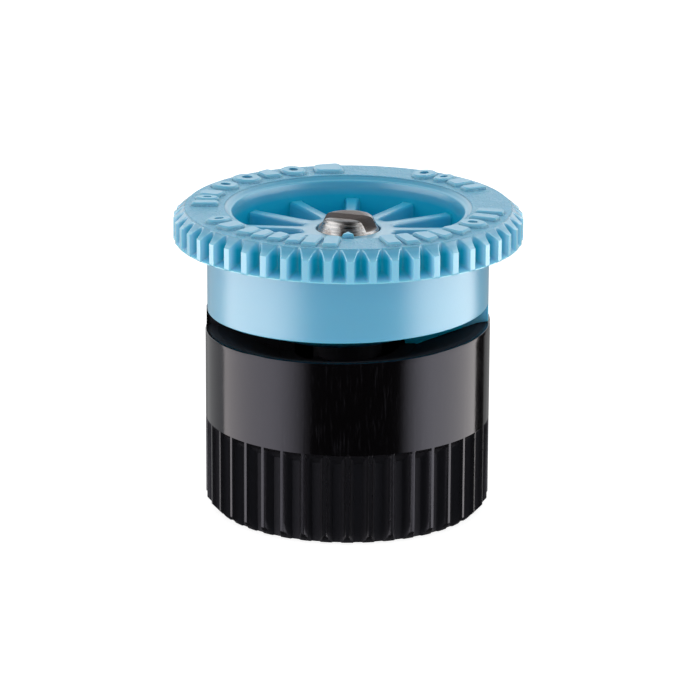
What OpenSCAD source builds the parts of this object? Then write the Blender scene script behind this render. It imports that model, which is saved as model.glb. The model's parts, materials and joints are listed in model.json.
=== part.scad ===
// Adjustable-arc spray nozzle for a pop-up sprinkler, with a female riser thread.
// A ribbed base screws on the riser. A toothed collar turns on a fixed core and climbs
// with it, which opens a helical slot and sets the watering arc. A captive slotted screw
// lifts a keyed plug towards the core's inlet windows and sets the throw.
// Millimetres, +Z up. The origin is the centre of the base's bottom face.

/* [Base] */
// Outer radius of the base
base_r = 11.2; // [11:0.1:11.6]
// Height of the ribbed grip
grip_h = 7.3; // [6.8:0.1:7.6]
// Depth of the grooves between the ribs
grip_depth = 0.85; // [0.7:0.05:1.1]
// Number of ribs round the grip
grip_count = 40; // [32:1:44]
// Chamfer at the foot of the ribs
foot_chamfer = 0.72; // [0.4:0.02:0.8]

/* [Riser thread] */
// Minor radius of the 5/8 inch, 28 threads per inch female thread
thread_r = 7.45; // [7.4:0.01:7.5]
// Depth of the thread and its lead-in, up to the gasket
thread_h = 7.5; // [7.3:0.1:7.7]

/* [Arc valve] */
// Rise of the helical faces in one turn
valve_pitch = 1.5; // [1.2:0.05:1.6]
// Height of the base's helical rim where it starts
valve_z = 14.33; // [14.2:0.01:14.5]
// Angle of the fixed step in the base's rim
valve_start = 175; // [150:1:200]
// Arc that stands open at rest
arc_rest = 180; // [90:5:270]
// Clearance between the two helical faces where they are closed
valve_gap = 0.04; // [0.03:0.01:0.06]

/* [Collar] */
// Outer radius of the collar's skirt
skirt_r = 11.05; // [10.9:0.01:11.1]
// Height of the underside of the toothed rim
rim_z = 21.68; // [21.5:0.02:21.9]
// Height of the flat top of the rim
rim_top_z = 24.2; // [24:0.05:24.4]
// Radius over the teeth
tooth_r = 13.67; // [13.4:0.01:13.9]
// Number of teeth round the rim
tooth_count = 50; // [40:1:54]
// Radius of the dish inside the rim
dish_r = 9; // [8.7:0.1:9.1]
// Height of the hub and of the spokes' upper edges
hub_z = 22.4; // [22.1:0.1:22.6]
// Number of spokes between the hub and the dish wall
spoke_count = 12; // [8:1:14]
// Thickness of a spoke
spoke_w = 0.93; // [0.8:0.01:1.1]
// Height of the raised marks on the rim
mark_h = 0.3; // [0.2:0.05:0.4]

/* [Radius screw] */
// Radius of the screw's head
head_r = 2.45; // [2.3:0.05:2.5]
// Height of the top of the head
head_top_z = 23.45; // [23.3:0.05:23.6]
// Radius of the screw's shank
shank_r = 1.5; // [1.4:0.05:1.5]
// Width of the driver slot
slot_w = 1.15; // [0.9:0.05:1.3]
// Travel of the plug from open to shut
plug_travel = 1.5; // [1:0.1:1.5]

/* [Hidden] */
$fn = 96;

groove_r = base_r - grip_depth;
rib_root_w = 1.1;       // width of a rib at the groove floor
rib_tip_w = 0.24;       // width of a rib at the outside
grip_rise = 0.9;        // height of the slope that ends each groove
rib_phase = 0.28;       // turn of the ribs from the front

gasket_r = 7.7;         // pocket that holds the gasket above the thread
gasket_h = 1;
gasket_hole_r = 5.8;
throat_z = thread_h + gasket_h;
throat_r = 5;           // lower throat, where the plug moves
seat_r = 5.4;           // upper throat, where the core is pressed in
core_z = 11.3;            // ledge that carries the core
key_w = 1.3;            // tabs that keep the plug from turning
key_r = 5.6;
key_slack = 0.1;

lip_r = base_r - 1;     // inner edge of the base's rim
lip_fall = 0.15;
dish_fall = 2;          // fall of the valve faces from the outside to the seat
valve_steps = 72;

stem_r = 2.7;           // fixed stem that the collar turns on
stem_top_z = 20.2;
run_gap = 0.05;         // radial clearance of a turning fit
window_r = 4.2;         // outer radius of the core's inlet windows
arm_w = 1.2;
arm_h = 1;
seal_pocket_r = 2.05;   // counterbore for the screw's seal
seal_pocket_h = 0.9;

collar_step = valve_start + arc_rest;
collar_z = valve_z + valve_gap + valve_pitch * arc_rest / 360;
bell_r = 4.5;           // hollow of the collar round the stem
bell_top_z = 15.9;
ring_pocket_r = 3.75;   // pocket for the collar's seal
ring_pocket_z = 16.85;
hub_r = 3.7;
hub_hole_r = 2.6;
hub_bore_z = 21.15;
floor_in_z = 17.2;      // floor of the collar's pockets at the hub
floor_out_z = 18.2;     // and at the dish wall
tooth_root_r = 12.78;
tooth_land_r = 12.73;   // outer radius of the rim's flat top
scallop_r = 0.6;        // rounded bottom of a tooth gap
tooth_chamfer_h = 0.76;
tooth_phase = 0.74;
spoke_phase = -2;

head_crown_r = 1.72;
head_edge_h = 0.28;     // upright band above the hub before the head slopes in
slot_floor_z = 22.6;
slot_turn = -31;
clip_z = 10.75;
clip_h = 0.5;
clip_r = 2.3;
clip_groove_r = 1.1;
screw_end_z = 7.7;
plug_r = 4.5;
plug_h = 1;
plug_hub_r = 2.3;
plug_hub_h = 1;
plug_recess_r = 2.6;
plug_recess_h = 0.65;
plug_top_z = core_z - 0.02 - plug_travel;

// Raised marks on the rim: angle, radial length, width and kind
BARS = [[249, 2.3, 1.0], [256, 2.3, 1.0], [287, 2.1, 0.9], [293, 2.1, 0.9], [208, 1.4, 0.8],
        [335, 1.7, 0.9], [20, 1.5, 0.8], [150, 1.6, 0.8]];
BLOCKS = [[240, 2.1, 1.7], [230, 2.1, 1.7], [301, 2.2, 1.8], [311, 2.0, 1.7], [345, 2.2, 1.8],
          [97, 2.2, 1.9], [165, 1.8, 1.5], [35, 1.6, 1.4]];
RINGS = [[220, 2.1, 1.6], [322, 2.0, 1.7], [67, 2.0, 1.9], [112, 2.1, 1.9], [126, 2.3, 2.1],
         [138, 1.8, 1.5], [48, 1.6, 1.3], [180, 1.8, 1.4]];
mark_mid_r = 11.2;

// Profile of a valve face: radius, and height above the face's outer edge. Its corners
// stay off the radii of the walls that it meets.
function valve_profile(r_in, r_out) =
    [[r_in, -dish_fall], [seat_r + 0.1, -dish_fall], [lip_r, -lip_fall],
     [base_r + 0.1, 0], [r_out, 0]];

// Ring with one flat face and one face that follows profile and climbs valve_pitch a turn
module helix_ring(profile, start, z, flat_z) {
    cols = len(profile);
    rows = valve_steps + 1;
    function climb(i, j) = i * cols + j;
    function flat(i, k) = rows * cols + 2 * (i % valve_steps) + k;
    last = cols - 1;
    function row_angle(i) = start + 360 * (i % valve_steps) / valve_steps;
    climb_points = [for (i = [0 : valve_steps], p = profile)
        [p[0] * cos(row_angle(i)), p[0] * sin(row_angle(i)), z + valve_pitch * i / valve_steps + p[1]]];
    flat_points = [for (i = [0 : valve_steps - 1], r = [profile[0][0], profile[last][0]])
        [r * cos(row_angle(i)), r * sin(row_angle(i)), flat_z]];
    climb_faces = [for (i = [0 : valve_steps - 1], j = [0 : last - 1], side = [0, 1])
        side == 0 ? [climb(i, j), climb(i, j + 1), climb(i + 1, j + 1)]
                  : [climb(i, j), climb(i + 1, j + 1), climb(i + 1, j)]];
    flat_faces = [for (i = [0 : valve_steps - 1])
        [flat(i, 0), flat(i + 1, 0), flat(i + 1, 1), flat(i, 1)]];
    function foot(i, j) = climb(i == 0 ? valve_steps : i, j);
    outer_faces = [for (i = [0 : valve_steps - 1])
        [foot(i, last), flat(i, 1), flat(i + 1, 1), climb(i + 1, last)]];
    inner_faces = [for (i = [0 : valve_steps - 1])
        [foot(i, 0), climb(i + 1, 0), flat(i + 1, 0), flat(i, 0)]];
    seam_faces = [[climb(0, last), climb(valve_steps, last), climb(1, last)],
                  [climb(0, 0), climb(1, 0), climb(valve_steps, 0)]];
    step_faces = [for (j = [0 : last - 1])
        [climb(0, j), climb(valve_steps, j), climb(valve_steps, j + 1), climb(0, j + 1)]];
    faces = concat(climb_faces, flat_faces, outer_faces, inner_faces, seam_faces, step_faces);
    above = flat_z > z;
    polyhedron(concat(climb_points, flat_points),
               above ? faces : [for (f = faces) [for (k = [len(f) - 1 : -1 : 0]) f[k]]]);
}

// Everything above the fixed valve faces
module above_fixed_faces(r_in) {
    helix_ring(valve_profile(r_in, base_r + 1), valve_start, valve_z, valve_z + 8);
}

module ribs() {
    intersection() {
        linear_extrude(grip_h)
            for (i = [0 : grip_count - 1])
                rotate(i * 360 / grip_count - 90 + rib_phase)
                    polygon([[groove_r - 0.3, -rib_root_w / 2 - 0.1], [base_r + 0.1, -rib_tip_w / 2],
                             [base_r + 0.1, rib_tip_w / 2], [groove_r - 0.3, rib_root_w / 2 + 0.1]]);
        rotate_extrude()
            polygon([[0, 0], [base_r - foot_chamfer, 0], [base_r, foot_chamfer],
                     [base_r, grip_h], [0, grip_h]]);
    }
}

module nozzle_body() {
    color("#141416") difference() {
        union() {
            rotate_extrude()
                polygon([[0, 0], [groove_r - 0.2, 0], [groove_r, 0.2], [groove_r, grip_h - grip_rise],
                         [base_r, grip_h], [base_r, valve_z + valve_pitch + 0.2],
                         [0, valve_z + valve_pitch + 0.2]]);
            ribs();
        }
        translate([0, 0, -1]) cylinder(r = thread_r, h = thread_h + 1);
        translate([0, 0, -0.01]) cylinder(r1 = thread_r + 0.65, r2 = thread_r, h = 0.6);
        translate([0, 0, thread_h - 0.01]) cylinder(r = gasket_r, h = gasket_h + 0.01);
        translate([0, 0, thread_h]) cylinder(r = throat_r, h = core_z);
        translate([0, 0, core_z]) cylinder(r = seat_r, h = 6);
        for (a = [0, 180])
            rotate(a) translate([0, -key_w / 2 - key_slack, throat_z - 0.01])
                cube([key_r + key_slack, key_w + 2 * key_slack, core_z - throat_z + key_slack]);
        above_fixed_faces(seat_r - 0.5);
    }
}

module valve_core() {
    color("#1b1b1e") difference() {
        union() {
            translate([0, 0, core_z]) cylinder(r = stem_r, h = stem_top_z - core_z);
            difference() {
                translate([0, 0, core_z]) cylinder(r = seat_r - 0.02, h = 3);
                translate([0, 0, core_z - 1]) cylinder(r = window_r, h = 5);
                helix_ring([[window_r - 0.6, -dish_fall], [seat_r + 0.4, -dish_fall]],
                           valve_start, valve_z, valve_z + 4);
            }
            for (a = [45, 135])
                rotate(a) translate([-window_r - 0.3, -arm_w / 2, core_z])
                    cube([2 * window_r + 0.6, arm_w, arm_h]);
        }
        translate([0, 0, core_z - 1]) cylinder(r = shank_r + run_gap, h = 12);
        translate([0, 0, stem_top_z - seal_pocket_h]) cylinder(r = seal_pocket_r, h = 2);
    }
}

module riser_gasket() {
    color("#2a2a2a") translate([0, 0, thread_h]) difference() {
        cylinder(r = gasket_r - 0.03, h = gasket_h);
        translate([0, 0, -1]) cylinder(r = gasket_hole_r, h = gasket_h + 2);
    }
}

// Round seal ring that fills from r_in to r_out, resting at height z
module seal_ring(r_in, r_out, z) {
    section_r = (r_out - r_in) / 2;
    translate([0, 0, z + section_r]) rotate_extrude() translate([r_in + section_r, 0]) circle(section_r);
}

module screw_seal() {
    color("#2a2a2a")
        seal_ring(shank_r + 0.02, seal_pocket_r - 0.01, stem_top_z - seal_pocket_h + 0.02);
}

module collar_seal() {
    color("#2a2a2a") seal_ring(stem_r + 0.02, ring_pocket_r - 0.02, bell_top_z - 0.08);
}

module collar_shell() {
    rotate_extrude()
        polygon([[0, 12.8], [skirt_r, 12.8], [skirt_r, rim_z - 0.3], [skirt_r + 0.3, rim_z],
                 [tooth_root_r - 0.2, rim_z], [tooth_root_r - 0.2, rim_top_z],
                 [dish_r + 0.65, rim_top_z], [dish_r + 0.3, rim_top_z - 0.28],
                 [dish_r + 0.1, rim_top_z - 0.42], [dish_r, rim_top_z - 0.6],
                 [dish_r - 0.2, floor_out_z], [hub_r + 0.3, floor_in_z], [hub_r, floor_in_z + 0.3],
                 [hub_r, hub_z], [0, hub_z]]);
}

module rim_teeth() {
    intersection() {
        translate([0, 0, rim_z]) linear_extrude(rim_top_z - rim_z) difference() {
            circle(tooth_r);
            circle(tooth_root_r - 0.6);
            for (i = [0 : tooth_count - 1])
                rotate((i + 0.5) * 360 / tooth_count - 90 + tooth_phase) {
                    translate([tooth_root_r + scallop_r, 0]) circle(scallop_r, $fn = 24);
                    polygon([[tooth_root_r + scallop_r, -scallop_r], [tooth_r + 0.1, -scallop_r - 0.04],
                             [tooth_r + 0.1, scallop_r + 0.04], [tooth_root_r + scallop_r, scallop_r]]);
                }
        }
        rotate_extrude()
            polygon([[0, rim_z], [tooth_r, rim_z], [tooth_r, rim_top_z - tooth_chamfer_h],
                     [tooth_land_r, rim_top_z], [0, rim_top_z]]);
    }
}

module spokes() {
    for (i = [0 : spoke_count - 1])
        rotate(i * 360 / spoke_count + spoke_phase)
            translate([hub_r - 0.5, -spoke_w / 2, floor_in_z - 0.4])
                cube([dish_r - hub_r + 0.8, spoke_w, hub_z - floor_in_z + 0.4]);
}

module mark_outlines() {
    for (b = BARS) rotate(b[0]) translate([mark_mid_r, 0]) square([b[1], b[2]], center = true);
    for (b = BLOCKS) rotate(b[0]) translate([mark_mid_r, 0])
        polygon([[-b[1] / 2, -b[2] / 2], [b[1] / 2, -b[2] / 3], [b[1] / 2, b[2] / 3], [-b[1] / 2, b[2] / 2]]);
    for (b = RINGS) rotate(b[0]) translate([mark_mid_r, 0]) difference() {
        scale([b[1] / b[2], 1]) circle(b[2] / 2, $fn = 12);
        scale([b[1] / b[2], 1]) circle(b[2] / 5, $fn = 8);
    }
    rotate(-90) polygon([[8.6, 0], [9.95, -0.5], [9.95, 0.5]]);
}

module arc_collar() {
    color("#7fc0e2") difference() {
        union() {
            collar_shell();
            rim_teeth();
            spokes();
            translate([0, 0, rim_top_z - 0.2]) linear_extrude(mark_h + 0.2) mark_outlines();
        }
        helix_ring(valve_profile(bell_r - 0.2, skirt_r + 1.2), collar_step, collar_z, collar_z - 6);
        translate([0, 0, 8]) cylinder(r = bell_r, h = bell_top_z - 8);
        translate([0, 0, 8]) cylinder(r = ring_pocket_r, h = ring_pocket_z - 8);
        translate([0, 0, 8]) cylinder(r = stem_r + run_gap, h = hub_bore_z - 8);
        translate([0, 0, 8]) cylinder(r = hub_hole_r, h = 20);
    }
}

module radius_screw() {
    color("#a9aaac") difference() {
        union() {
            translate([0, 0, screw_end_z]) cylinder(r = shank_r, h = stem_top_z - screw_end_z + 0.1);
            rotate_extrude()
                polygon([[0, stem_top_z + 0.02], [head_r, stem_top_z + 0.02],
                         [head_r, hub_z + head_edge_h], [(head_r + head_crown_r) / 2 + 0.12, head_top_z - 0.36],
                         [head_crown_r, head_top_z], [0, head_top_z]]);
        }
        translate([0, 0, clip_z]) difference() {
            cylinder(r = shank_r + 1, h = clip_h);
            translate([0, 0, -1]) cylinder(r = clip_groove_r, h = clip_h + 2);
        }
        rotate(slot_turn) translate([-4, -slot_w / 2, slot_floor_z]) cube([8, slot_w, 3]);
    }
}

module screw_clip() {
    color("#b8babc") translate([0, 0, clip_z + 0.01]) linear_extrude(clip_h - 0.02) difference() {
        circle(clip_r);
        circle(clip_groove_r + 0.02);
        polygon([[0, 0], [3, -1.2], [3, 1.2]]);
        for (a = [110, 250]) rotate(a) translate([clip_groove_r, 0]) circle(0.45, $fn = 24);
    }
}

module throttle_plug() {
    color("#e6e2d6") difference() {
        union() {
            translate([0, 0, plug_top_z - plug_h]) cylinder(r = plug_r, h = plug_h);
            translate([0, 0, plug_top_z - plug_h - plug_hub_h]) cylinder(r = plug_hub_r, h = plug_hub_h + 0.2);
            translate([-key_r, -key_w / 2, plug_top_z - plug_h]) cube([2 * key_r, key_w, plug_h]);
        }
        translate([0, 0, 4]) cylinder(r = shank_r + run_gap, h = 10);
        translate([0, 0, plug_top_z - plug_recess_h]) cylinder(r = plug_recess_r, h = 2);
    }
}

nozzle_body();
valve_core();
riser_gasket();
screw_seal();
collar_seal();
arc_collar();
radius_screw();
screw_clip();
throttle_plug();
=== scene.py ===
# %% [markdown]
# # An adjustable-arc spray nozzle
# This nozzle screws on the riser of a pop-up sprinkler. The black base grips the riser, the
# light blue collar turns to set the watering arc, and the steel screw in the middle sets how
# far the water goes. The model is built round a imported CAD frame, and every shape here is
# drawn in millimetres and scaled to the frame's metres at the end.

# %% The frame
import json
import math

import bmesh
import bpy
from mathutils import Matrix, Vector


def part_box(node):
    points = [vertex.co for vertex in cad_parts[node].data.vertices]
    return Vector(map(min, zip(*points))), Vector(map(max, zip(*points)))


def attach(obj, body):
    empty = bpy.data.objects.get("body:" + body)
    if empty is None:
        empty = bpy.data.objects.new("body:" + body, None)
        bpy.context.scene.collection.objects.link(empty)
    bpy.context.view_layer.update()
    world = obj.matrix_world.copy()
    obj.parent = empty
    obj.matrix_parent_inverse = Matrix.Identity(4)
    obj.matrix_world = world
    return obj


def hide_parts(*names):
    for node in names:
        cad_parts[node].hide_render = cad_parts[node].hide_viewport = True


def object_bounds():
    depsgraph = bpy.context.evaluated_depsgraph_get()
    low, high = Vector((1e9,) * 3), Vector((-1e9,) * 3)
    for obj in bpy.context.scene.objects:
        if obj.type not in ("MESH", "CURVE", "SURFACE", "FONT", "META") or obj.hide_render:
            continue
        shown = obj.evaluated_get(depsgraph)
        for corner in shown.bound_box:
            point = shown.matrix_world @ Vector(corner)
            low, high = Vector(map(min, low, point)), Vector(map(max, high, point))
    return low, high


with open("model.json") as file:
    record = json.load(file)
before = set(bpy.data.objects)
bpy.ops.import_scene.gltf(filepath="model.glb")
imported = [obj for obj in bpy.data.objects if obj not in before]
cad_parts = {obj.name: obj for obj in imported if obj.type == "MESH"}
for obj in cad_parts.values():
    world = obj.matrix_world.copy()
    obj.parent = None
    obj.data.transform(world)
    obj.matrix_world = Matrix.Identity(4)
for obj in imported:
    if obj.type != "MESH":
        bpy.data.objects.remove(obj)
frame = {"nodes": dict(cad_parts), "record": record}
CAD_BOX = [list(corner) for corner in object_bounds()]
MM = 0.001
nodes = frame["nodes"]
print("CAD box, mm:", [[round(value / MM, 2) for value in corner] for corner in CAD_BOX])

# %% [markdown]
# ## Sizes that come from the frame
# The outer radii and heights are read from the CAD nodes, so the visible pieces can't drift
# from them. The collar turns as it rises, and the climb of one turn is the coupling's ratio
# turned round.

# %% Sizes
def box_mm(name):
    """Lowest and highest corner of a CAD node, in millimetres."""
    low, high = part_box(name)
    return low / MM, high / MM


behaviour = frame["record"]["behaviour"]
TURN = 2 * math.pi
CLIMB = TURN / behaviour["couplings"][0]["ratio"] / MM
base_high = box_mm("nozzle_body")[1]
collar_low, collar_high = box_mm("arc_collar")
screw_low, screw_high = box_mm("radius_screw")
core_low, core_high = box_mm("valve_core")
gasket_low, gasket_high = box_mm("riser_gasket")

BASE_R = base_high.x
VALVE_Z = base_high.z - CLIMB
DISH_FALL = 2.0
COLLAR_Z = collar_low.z + DISH_FALL
TOOTH_R = (collar_high.y - collar_low.y) / 2
MARK_H = 0.3
RIM_TOP = collar_high.z - MARK_H
DISH_R = 9.0
BASE_STEP = 175.0
COLLAR_STEP = BASE_STEP + 180.0
print("base radius", round(BASE_R, 2), "tooth radius", round(TOOTH_R, 2), "climb", round(CLIMB, 3))

# %% [markdown]
# ## The camera
# A long lens from a third of a metre away looks down on the nozzle by about seventeen
# degrees, so the round edges become narrow ellipses with little perspective. The aim point
# is half way up the nozzle.

# %% Camera
CAMERA_DISTANCE = 328.25
CAMERA_TILT = 16.83
CAMERA_ROLL = 0.3
FOCAL_PER_WIDTH = 5.944
AIM_SIDE = 0.186
AIM_RISE = 0.17
AIM = Vector((AIM_SIDE, 0.0, CAD_BOX[1][2] / MM / 2 + AIM_RISE))

scene = bpy.context.scene


def add_camera():
    lens = bpy.data.cameras.new("view")
    lens.sensor_width = 36.0
    lens.lens = lens.sensor_width * FOCAL_PER_WIDTH
    lens.clip_start = 0.02
    lens.dof.use_dof = False
    camera = bpy.data.objects.new("view", lens)
    tilt = math.radians(CAMERA_TILT)
    away = Vector((0.0, -math.cos(tilt), math.sin(tilt)))
    camera.location = (AIM + away * CAMERA_DISTANCE) * MM
    level = Matrix.Rotation(math.pi / 2 - tilt, 4, "X")
    roll = Matrix.Rotation(math.radians(CAMERA_ROLL), 4, "Z")
    camera.rotation_euler = (level @ roll).to_euler()
    scene.collection.objects.link(camera)
    scene.camera = camera
    return camera


camera = add_camera()
print("lens, mm:", round(camera.data.lens, 1))

# %% [markdown]
# ## Helpers for node trees
# Geometry and shader trees are built by the same few lines: make a node, set its options,
# and feed each input with a number or with another node's output. A wire is a node's output
# that can be added and multiplied, so that a rule reads as a formula. A modifier's inputs
# are set by their identifiers before the object is first evaluated.

# %% Wires
class Wire:
    """A node's output. Each sum on it makes a Math node."""

    def __init__(self, socket):
        self.socket = socket
        self.tree = socket.id_data

    def __add__(self, other):
        return maths(self.tree, "ADD", self, other)

    def __sub__(self, other):
        return maths(self.tree, "SUBTRACT", self, other)

    def __rsub__(self, other):
        return maths(self.tree, "SUBTRACT", other, self)

    def __mul__(self, other):
        return maths(self.tree, "MULTIPLY", self, other)

    def __truediv__(self, other):
        return maths(self.tree, "DIVIDE", self, other)

    __radd__ = __add__
    __rmul__ = __mul__


def wires(sockets):
    return {socket.name: Wire(socket) for socket in sockets}


def feed(socket, value):
    """Links a wire to the socket, or sets a plain value on the socket itself."""
    if isinstance(value, Wire):
        value.tree.links.new(value.socket, socket)
    else:
        socket.default_value = value


def pick(sockets, key):
    """A socket by number or name. Some nodes hide twins of the one in use."""
    if isinstance(key, int):
        return sockets[key]
    return next(socket for socket in sockets if socket.name == key and socket.enabled)


def add(tree, kind, feeds=None, **options):
    made = tree.nodes.new(kind)
    for name, value in options.items():
        setattr(made, name, value)
    for key, value in (feeds or {}).items():
        feed(pick(made.inputs, key), value)
    return made


def wire(tree, kind, feeds=None, **options):
    """The first output of a new node."""
    return Wire(add(tree, kind, feeds, **options).outputs[0])


def maths(tree, operation, *values):
    return wire(tree, "ShaderNodeMath", dict(enumerate(values)), operation=operation)


def smaller(first, second):
    return maths(first.tree, "MINIMUM", first, second)


def larger(first, second):
    return maths(first.tree, "MAXIMUM", first, second)


def vector(tree, **parts):
    """A vector from any of X, Y and Z."""
    return wire(tree, "ShaderNodeCombineXYZ", parts)


# %% Geometry trees
def named(tree, name, data_type="FLOAT"):
    """An attribute of the geometry."""
    return wire(tree, "GeometryNodeInputNamedAttribute", {"Name": name}, data_type=data_type)


def on_circle(tree, radius, angle, height):
    across, along = (radius * maths(tree, operation, angle) for operation in ("COSINE", "SINE"))
    return vector(tree, X=across, Y=along, Z=height)


def new_geometry_tree(name, **inputs):
    """A tree whose inputs are floats or integers by their values, and a material."""
    tree = bpy.data.node_groups.new(name, "GeometryNodeTree")
    tree.interface.new_socket("Geometry", in_out="INPUT", socket_type="NodeSocketGeometry")
    for title, value in inputs.items():
        kind = "NodeSocketInt" if isinstance(value, int) else "NodeSocketFloat"
        made = tree.interface.new_socket(title.replace("_", " "), in_out="INPUT", socket_type=kind)
        made.default_value = value
    tree.interface.new_socket("Finish", in_out="INPUT", socket_type="NodeSocketMaterial")
    tree.interface.new_socket("Geometry", in_out="OUTPUT", socket_type="NodeSocketGeometry")
    return tree, wires(tree.nodes.new("NodeGroupInput").outputs)


def end_tree(tree, geometry, finish):
    """Ends a tree: everything becomes real mesh and gets its material."""
    real = wire(tree, "GeometryNodeRealizeInstances", {"Geometry": geometry})
    finished = wire(tree, "GeometryNodeSetMaterial", {"Geometry": real, "Material": finish})
    feed(tree.nodes.new("NodeGroupOutput").inputs["Geometry"], finished)
    return tree


def applied(piece):
    """The mesh of a piece with its modifiers applied. The modifiers are then removed."""
    graph = bpy.context.evaluated_depsgraph_get()
    mesh = bpy.data.meshes.new_from_object(piece.evaluated_get(graph), depsgraph=graph)
    piece.modifiers.clear()
    return mesh


def run_tree(tree, source, name, values):
    """Runs tree on the object source and returns the result as a plain mesh object."""
    modifier = source.modifiers.new(tree.name, "NODES")
    modifier.node_group = tree
    for item in tree.interface.items_tree:
        if item.item_type == "SOCKET" and item.in_out == "INPUT" and item.name in values:
            modifier[item.identifier] = values[item.name]
    mesh = applied(source)
    bpy.data.objects.remove(source)
    mesh.name = name
    made = bpy.data.objects.new(name, mesh)
    scene.collection.objects.link(made)
    return made


# %% [markdown]
# ## Helpers for meshes
# A section is half of a cut through a turned piece. Each of its points has a distance from
# the axis, a height, how much it climbs with the valve, how much of a notch may cut it, and
# how much its corner is rounded. The points become a closed wire with named attributes,
# which the turning tree reads.

# %% Mesh helpers
CORNER_STEPS = 3


def rounded(section):
    """Replaces each corner that has a radius with a short curve of CORNER_STEPS + 1 points."""
    points = []
    for number, (r, z, climb, notch, corner) in enumerate(section):
        if not corner:
            points.append((r, z, climb, notch))
            continue
        here = Vector((r, z))
        before = Vector(section[number - 1][:2]) - here
        after = Vector(section[(number + 1) % len(section)][:2]) - here
        first = here + before.normalized() * corner
        last = here + after.normalized() * corner
        for step in range(CORNER_STEPS + 1):
            t = step / CORNER_STEPS
            spot = first * (1 - t) ** 2 + here * 2 * t * (1 - t) + last * t ** 2
            points.append((spot.x, spot.y, climb, notch))
    return points


def mesh_object(name, points, edges=(), faces=()):
    mesh = bpy.data.meshes.new(name)
    mesh.from_pydata([tuple(point) for point in points], list(edges), list(faces))
    made = bpy.data.objects.new(name, mesh)
    scene.collection.objects.link(made)
    return made


def store(piece, title, values, data_type="FLOAT"):
    piece.data.attributes.new(title, data_type, "POINT").data.foreach_set("value", values)


def wire_loop(name, **columns):
    """A closed wire whose points carry the columns of numbers as float attributes."""
    count = len(next(iter(columns.values())))
    loop = mesh_object(name, [(number, 0, 0) for number in range(count)],
                       edges=[(number, (number + 1) % count) for number in range(count)])
    for title, values in columns.items():
        store(loop, title, values)
    return loop


def section_wire(name, section):
    r, z, climb, notch = zip(*rounded(section))
    return wire_loop(name, from_axis=r, height=z, climb=climb, notch=notch)


def join(pieces, name):
    """Joins mesh objects into the first one."""
    with bpy.context.temp_override(active_object=pieces[0], selected_editable_objects=pieces,
                                   selected_objects=pieces):
        bpy.ops.object.join()
    pieces[0].name = name
    pieces[0].data.name = name
    return pieces[0]


def tidy_mesh(piece, sharp_angle=32.0):
    """Merges doubles, points the faces outwards and keeps only the real edges sharp."""
    shape = bmesh.new()
    shape.from_mesh(piece.data)
    bmesh.ops.remove_doubles(shape, verts=shape.verts, dist=1e-4)
    bmesh.ops.recalc_face_normals(shape, faces=shape.faces)
    open_edges = sum(1 for edge in shape.edges if not edge.is_manifold)
    shape.to_mesh(piece.data)
    shape.free()
    piece.data.polygons.foreach_set("use_smooth", [True] * len(piece.data.polygons))
    piece.data.set_sharp_from_angle(angle=math.radians(sharp_angle))
    for title in ("from_axis", "height", "climb", "notch", "turn"):
        if title in piece.data.attributes:
            piece.data.attributes.remove(piece.data.attributes[title])
    print(piece.name, "faces", len(piece.data.polygons), "open edges", open_edges)
    return piece


def to_metres(piece):
    piece.data.transform(Matrix.Scale(MM, 4))
    return piece


def cut(piece, cutter):
    """Cuts one mesh out of another and removes the cutter."""
    modifier = piece.modifiers.new("cut", "BOOLEAN")
    modifier.operation = "DIFFERENCE"
    modifier.solver = "EXACT"
    modifier.object = cutter
    piece.data = applied(piece)
    bpy.data.objects.remove(cutter)
    return piece


def brick(name, low, high, turn=0.0):
    """A box between two corners, turned about the Z axis by so many degrees."""
    shape = bmesh.new()
    bmesh.ops.create_cube(shape, size=1.0)
    size = Vector(high) - Vector(low)
    middle = (Vector(high) + Vector(low)) / 2
    place = Matrix.Rotation(math.radians(turn), 4, "Z") @ Matrix.Translation(middle)
    bmesh.ops.transform(shape, matrix=place @ Matrix.Diagonal((*size, 1.0)), verts=shape.verts)
    made = mesh_object(name, [])
    shape.to_mesh(made.data)
    shape.free()
    return made


# %% [markdown]
# ## Shared shader groups
# Moulded plastic is never perfectly even: the tool's surface leaves a fine grain, the melt
# leaves slow drifts of tone, and handling leaves faint rubs. One group makes these once for
# every material, and a second one marks what lies above a height. They read Object
# coordinates, so the patterns stay on the pieces when they turn, and they put out only
# masks and heights.

# %% Shader groups
def new_shader_group(name, inputs, outputs):
    tree = bpy.data.node_groups.new(name, "ShaderNodeTree")
    for title, value in inputs.items():
        made = tree.interface.new_socket(title, in_out="INPUT", socket_type="NodeSocketFloat")
        made.default_value = value
    for title in outputs:
        tree.interface.new_socket(title, in_out="OUTPUT", socket_type="NodeSocketFloat")
    given = wires(tree.nodes.new("NodeGroupInput").outputs)
    return tree, given, tree.nodes.new("NodeGroupOutput").inputs


def place_mm(tree):
    """Object coordinates in millimetres."""
    place = Wire(add(tree, "ShaderNodeTexCoord").outputs["Object"])
    return wire(tree, "ShaderNodeVectorMath", {0: place, "Scale": 1 / MM}, operation="SCALE")


def split_mm(tree):
    """X, Y, Z and the distance from the Z axis, in millimetres."""
    split = add(tree, "ShaderNodeSeparateXYZ", {0: place_mm(tree)})
    x, y, z = (Wire(socket) for socket in split.outputs)
    return x, y, z, maths(tree, "SQRT", x * x + y * y)


def noise(place, scale, detail=3.0, roughness=0.55):
    return wire(place.tree, "ShaderNodeTexNoise",
                {"Vector": place, "Scale": scale, "Detail": detail, "Roughness": roughness})


def remap(value, low, high, new_low=0.0, new_high=1.0):
    return wire(value.tree, "ShaderNodeMapRange", {
        "Value": value, "From Min": low, "From Max": high, "To Min": new_low, "To Max": new_high})


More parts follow.
